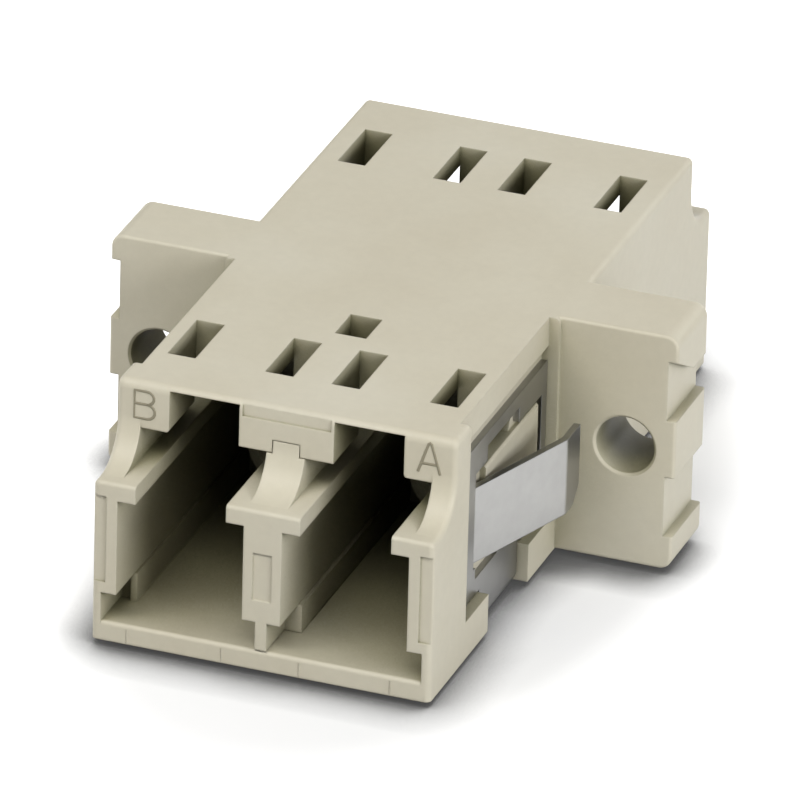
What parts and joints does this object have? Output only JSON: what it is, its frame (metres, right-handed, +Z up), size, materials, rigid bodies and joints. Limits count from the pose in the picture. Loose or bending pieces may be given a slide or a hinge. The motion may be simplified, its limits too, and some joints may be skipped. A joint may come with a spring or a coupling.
{
  "type": "lc fibre adapter",
  "caption": "Flanged LC fibre adapter: a moulded housing joins paired LC plugs end to end in split alignment sleeves and is held in its panel cut-out by screws or by a sprung metal clip.",
  "frame": {"origin": "under the middle of the part, on the face that it stands on", "axes": "+Y along the fibres from the marked front to the rear, +X across the two ports towards port A, +Z up towards the latch windows"},
  "size_m": [0.0218, 0.0296, 0.0094],
  "materials": {
    "housing": "fine moulded beige",
    "insert": "fine moulded beige",
    "sleeve": "ground zirconia",
    "spring_steel": "rolled stainless strip"
  },
  "bodies": {
    "root": {"housing_shell": "housing", "divider_insert": "insert", "alignment_sleeve_a": "sleeve", "alignment_sleeve_b": "sleeve", "retaining_clip": "spring_steel"}
  },
  "joints": []
}
